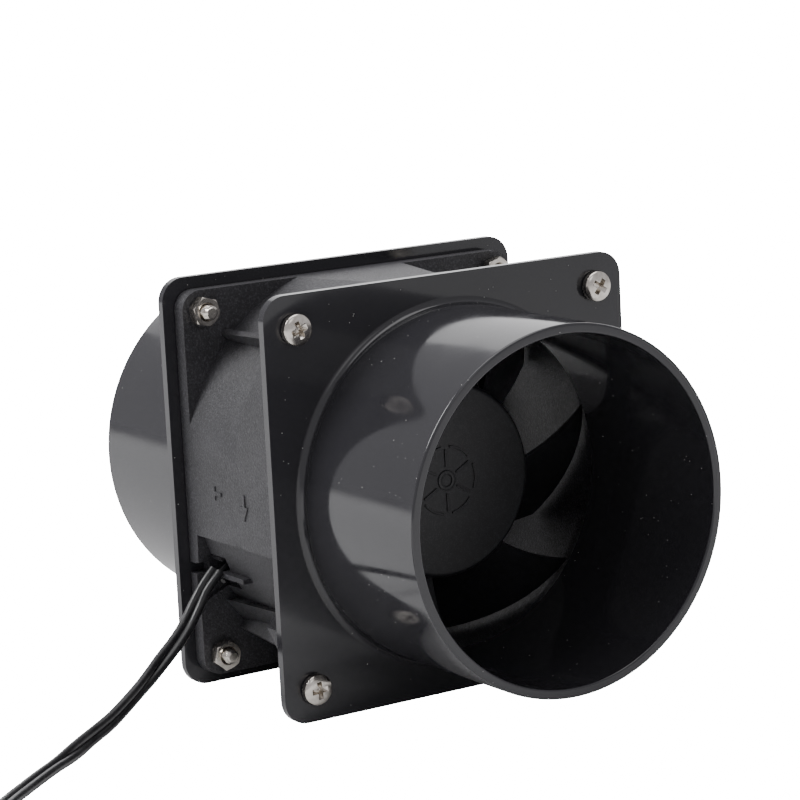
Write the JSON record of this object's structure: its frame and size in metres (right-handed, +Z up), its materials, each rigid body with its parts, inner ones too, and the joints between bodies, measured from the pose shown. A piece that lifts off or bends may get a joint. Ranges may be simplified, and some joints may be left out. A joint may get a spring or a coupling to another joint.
{
  "type": "inline duct fan",
  "caption": "Inline duct fan: square axial fan bolted between two flanged collars for round duct, with a thin flat lead to a barrel plug.",
  "frame": {"origin": "midway between the two plates, at the level of the plates' lower edges that the fan stands on", "axes": "+Y along the fan's axis, from the intake collar (-Y) to the outlet collar (+Y); +Z up; the lead leaves at -X"},
  "size_m": [0.2073, 0.1212, 0.085],
  "materials": {
    "collar_black": "glossy black moulded ABS",
    "housing_black": "matte, lightly speckled glass-filled PBT",
    "impeller_black": "satin moulded PBT",
    "nickel": "nickel-plated steel",
    "steel": "bright ground steel",
    "lamination": "stacked silicon-steel sheets",
    "magnet": "bonded ferrite",
    "copper": "enamelled copper wire",
    "nylon": "natural nylon",
    "board": "green solder mask on glass-epoxy board",
    "chip": "black moulded epoxy",
    "foil": "plain metallised foil, blank",
    "cord_pvc": "soft black PVC",
    "cage_brass": "pressed brass cage"
  },
  "bodies": {
    "frame": {"front_duct_collar": "collar_black", "rear_duct_collar": "collar_black", "fan_housing": "housing_black", "front_bolt_1": "nickel", "front_bolt_2": "nickel", "front_bolt_3": "nickel", "front_bolt_4": "nickel", "rear_bolt_1": "nickel", "rear_bolt_2": "nickel", "rear_bolt_3": "nickel", "rear_bolt_4": "nickel", "front_nut_1": "nickel", "front_nut_2": "nickel", "front_nut_3": "nickel", "front_nut_4": "nickel", "rear_nut_1": "nickel", "rear_nut_2": "nickel", "rear_nut_3": "nickel", "rear_nut_4": "nickel", "front_bearing_outer_race": "steel", "rear_bearing_outer_race": "steel", "stator_core": "lamination", "stator_insulator_front": "nylon", "stator_insulator_rear": "nylon", "winding_1": "copper", "winding_2": "copper", "winding_3": "copper", "winding_4": "copper", "circuit_board": "board", "hall_sensor": "chip", "driver_chip": "chip", "rear_label": "foil", "inner_lead_1": "cord_pvc", "inner_lead_2": "cord_pvc", "power_cord": "cord_pvc", "power_cord_tail": "cord_pvc", "power_cord_coil": "cord_pvc", "cord_tie": "cord_pvc", "plug_body": "cord_pvc", "plug_sleeve": "nickel", "plug_insulator": "chip"},
    "rotor": {"impeller": "impeller_black", "rotor_yoke": "steel", "ring_magnet": "magnet", "rotor_shaft": "steel", "thrust_washer": "steel", "retaining_clip": "steel", "preload_spring": "steel", "front_bearing_inner_race": "steel", "rear_bearing_inner_race": "steel"},
    "front_balls": {"front_bearing_balls": "cage_brass"},
    "rear_balls": {"rear_bearing_balls": "cage_brass"}
  },
  "joints": [
    {"name": "rotor_spin", "type": "hinge", "parent": "frame", "child": "rotor", "pos_m": [0, 0, 0.0425], "axis": [0, -1, 0], "continuous": true},
    {"name": "front_balls_roll", "type": "hinge", "parent": "frame", "child": "front_balls", "pos_m": [0, 0, 0.0425], "axis": [0, -1, 0], "continuous": true},
    {"name": "rear_balls_roll", "type": "hinge", "parent": "frame", "child": "rear_balls", "pos_m": [0, 0, 0.0425], "axis": [0, -1, 0], "continuous": true}
  ],
  "couplings": [
    {"joint": "front_balls_roll", "follows": "rotor_spin", "ratio": 0.388},
    {"joint": "rear_balls_roll", "follows": "rotor_spin", "ratio": 0.388}
  ]
}
